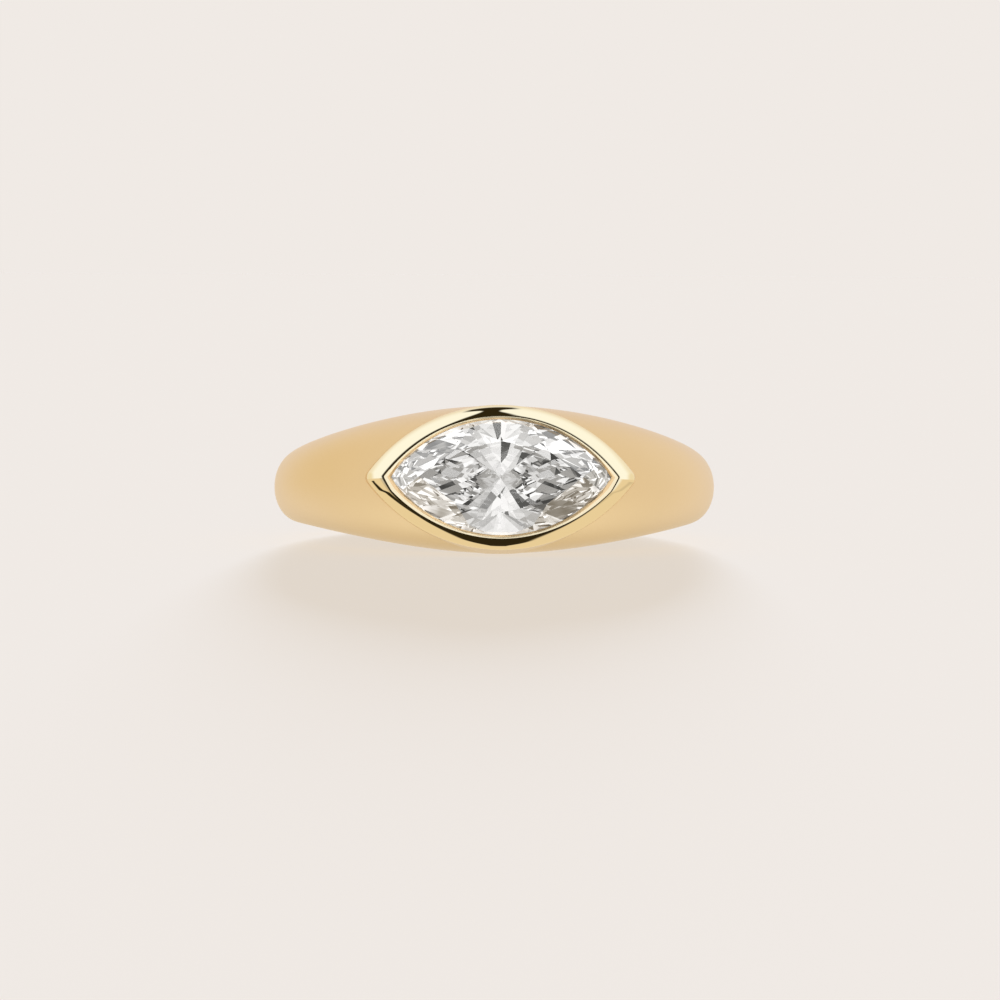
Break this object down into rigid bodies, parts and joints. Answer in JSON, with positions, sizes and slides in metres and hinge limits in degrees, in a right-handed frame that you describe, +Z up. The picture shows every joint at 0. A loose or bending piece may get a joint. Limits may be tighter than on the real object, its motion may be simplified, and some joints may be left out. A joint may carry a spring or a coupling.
{
  "type": "marquise pinky ring",
  "caption": "Domed satin gold pinky ring with a marquise-cut stone set east-west in a polished bezel, worn on the little finger.",
  "frame": {"origin": "the point on the surface below the middle of the ring's box, with the ring lying on its side", "axes": "+Z up from the surface; the stone faces -Y and about 6 degrees up; +X along the stone; the finger hole runs near Z"},
  "size_m": [0.0194, 0.0204, 0.0064],
  "materials": {
    "satin_gold": "yellow gold, fine satin on the band",
    "polished_gold": "yellow gold, mirror polish on the bezel and inside the finger hole",
    "clear_stone": "clear colourless faceted stone"
  },
  "bodies": {
    "root": {"band_with_bezel": "satin_gold", "marquise_stone": "clear_stone"}
  },
  "joints": []
}
